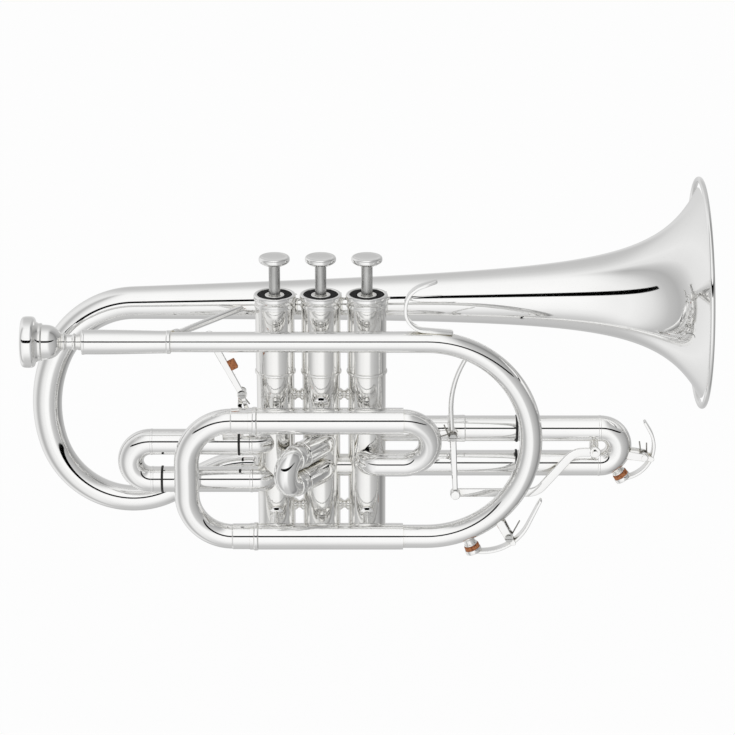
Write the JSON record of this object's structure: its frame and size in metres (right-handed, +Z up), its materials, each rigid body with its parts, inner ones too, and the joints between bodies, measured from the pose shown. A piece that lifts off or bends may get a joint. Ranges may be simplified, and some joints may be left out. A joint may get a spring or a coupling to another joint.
{
  "type": "cornet",
  "caption": "Silver-plated cornet with spring-loaded piston valves, a shepherd's crook bell, triggers on the first and third valve slides, water keys and a mouthpiece.",
  "frame": {"origin": "centre of the bell mouth, in the plane of its rim", "axes": "+X points out of the bell, along the instrument and square to the valves; +Z points up, along the valve stems to the finger buttons; the player's right-hand side is -Y"},
  "size_m": [0.3454, 0.1277, 0.1835],
  "materials": {
    "silver_plate": "silver-plated and polished to a mirror",
    "nickel_plate": "satin nickel",
    "spring_steel": "plain drawn wire",
    "black_felt": "pressed felt",
    "guide_plastic": "moulded nylon",
    "black_rubber": "smooth rubber",
    "cork": "cut cork"
  },
  "bodies": {
    "body": {"bell": "silver_plate", "leadpipe": "silver_plate", "mouthpiece_receiver": "silver_plate", "tuning_sleeve_upper": "silver_plate", "tuning_sleeve_lower": "silver_plate", "valve_entry_bend": "silver_plate", "valve_casing_1": "silver_plate", "valve_casing_2": "silver_plate", "valve_casing_3": "silver_plate", "crossover_tubes": "silver_plate", "casing_braces": "silver_plate", "top_caps": "silver_plate", "bottom_caps": "silver_plate", "cap_felts": "black_felt", "valve_guides": "guide_plastic", "valve_spring_1": "spring_steel", "valve_spring_2": "spring_steel", "valve_spring_3": "spring_steel", "first_slide_tubes": "silver_plate", "second_slide_tubes": "silver_plate", "third_slide_tubes": "silver_plate", "first_trigger_post": "silver_plate", "first_trigger_spring": "spring_steel", "third_trigger_post": "silver_plate", "third_trigger_spring": "spring_steel", "pivot_screws": "nickel_plate", "water_key_saddle": "silver_plate", "water_key_spring": "spring_steel", "finger_hook": "silver_plate", "bell_brace": "silver_plate", "slide_posts": "silver_plate", "casing_to_bell_brace": "silver_plate"},
    "mouthpiece": {"mouthpiece": "silver_plate"},
    "tuning_slide": {"tuning_slide": "silver_plate"},
    "valve_1": {"piston_1": "nickel_plate", "valve_stem_1": "nickel_plate", "finger_button_1": "silver_plate"},
    "valve_2": {"piston_2": "nickel_plate", "valve_stem_2": "nickel_plate", "finger_button_2": "silver_plate"},
    "valve_3": {"piston_3": "nickel_plate", "valve_stem_3": "nickel_plate", "finger_button_3": "silver_plate"},
    "first_slide": {"first_slide": "silver_plate", "first_slide_rings": "black_rubber", "first_trigger_link": "silver_plate"},
    "first_trigger": {"first_trigger_lever": "silver_plate", "first_trigger_cork": "cork"},
    "second_slide": {"second_slide": "silver_plate"},
    "third_slide": {"third_slide": "silver_plate", "third_slide_rings": "black_rubber", "third_key_saddle": "silver_plate", "third_key_spring": "spring_steel"},
    "third_trigger": {"third_trigger_lever": "silver_plate"},
    "third_link": {"third_trigger_link": "silver_plate"},
    "water_key": {"water_key_lever": "silver_plate", "water_key_cork": "cork"},
    "third_key": {"third_key_lever": "silver_plate", "third_key_cork": "cork"}
  },
  "joints": [
    {"name": "mouthpiece_out", "type": "slide", "parent": "body", "child": "mouthpiece", "axis": [-1, 0, 0], "range_m": [0, 0.03]},
    {"name": "tuning", "type": "slide", "parent": "body", "child": "tuning_slide", "axis": [-1, 0, 0], "range_m": [0, 0.025]},
    {"name": "valve_1_down", "type": "slide", "parent": "body", "child": "valve_1", "axis": [0, 0, -1], "range_m": [0, 0.0148], "deforming": ["valve_spring_1"]},
    {"name": "valve_2_down", "type": "slide", "parent": "body", "child": "valve_2", "axis": [0, 0, -1], "range_m": [0, 0.0148], "deforming": ["valve_spring_2"]},
    {"name": "valve_3_down", "type": "slide", "parent": "body", "child": "valve_3", "axis": [0, 0, -1], "range_m": [0, 0.0148], "deforming": ["valve_spring_3"]},
    {"name": "first_slide_out", "type": "slide", "parent": "body", "child": "first_slide", "axis": [-1, 0, 0], "range_m": [0, 0.0074]},
    {"name": "first_trigger_swing", "type": "hinge", "parent": "body", "child": "first_trigger", "pos_m": [-0.235, -0.0427, -0.0397], "axis": [0, 1, 0], "range_deg": [0, 33.08]},
    {"name": "second_slide_out", "type": "slide", "parent": "body", "child": "second_slide", "axis": [-0.5736, -0.8192, 0], "range_m": [0, 0.01]},
    {"name": "third_slide_out", "type": "slide", "parent": "body", "child": "third_slide", "axis": [1, 0, 0], "range_m": [0, 0.012]},
    {"name": "third_trigger_swing", "type": "hinge", "parent": "body", "child": "third_trigger", "pos_m": [-0.1285, -0.0392, -0.0628], "axis": [0, -1, 0], "range_deg": [0, 20.91]},
    {"name": "third_link_swing", "type": "hinge", "parent": "third_slide", "child": "third_link", "pos_m": [-0.0559, -0.0371, -0.0731], "axis": [0, 1, 0], "range_deg": [0, 2.01]},
    {"name": "water_key_open", "type": "hinge", "parent": "body", "child": "water_key", "pos_m": [-0.0999, -0.051, -0.1132], "axis": [0, -1, 0], "range_deg": [0, 12]},
    {"name": "third_key_open", "type": "hinge", "parent": "third_slide", "child": "third_key", "pos_m": [-0.03, -0.028, -0.0785], "axis": [0, -1, 0], "range_deg": [0, 16]}
  ],
  "couplings": [
    {"joint": "first_trigger_swing", "follows": "first_slide_out", "rad_per_m": 78.001},
    {"joint": "third_trigger_swing", "follows": "third_slide_out", "rad_per_m": 30.398},
    {"joint": "third_link_swing", "follows": "third_slide_out", "rad_per_m": 2.9089}
  ]
}
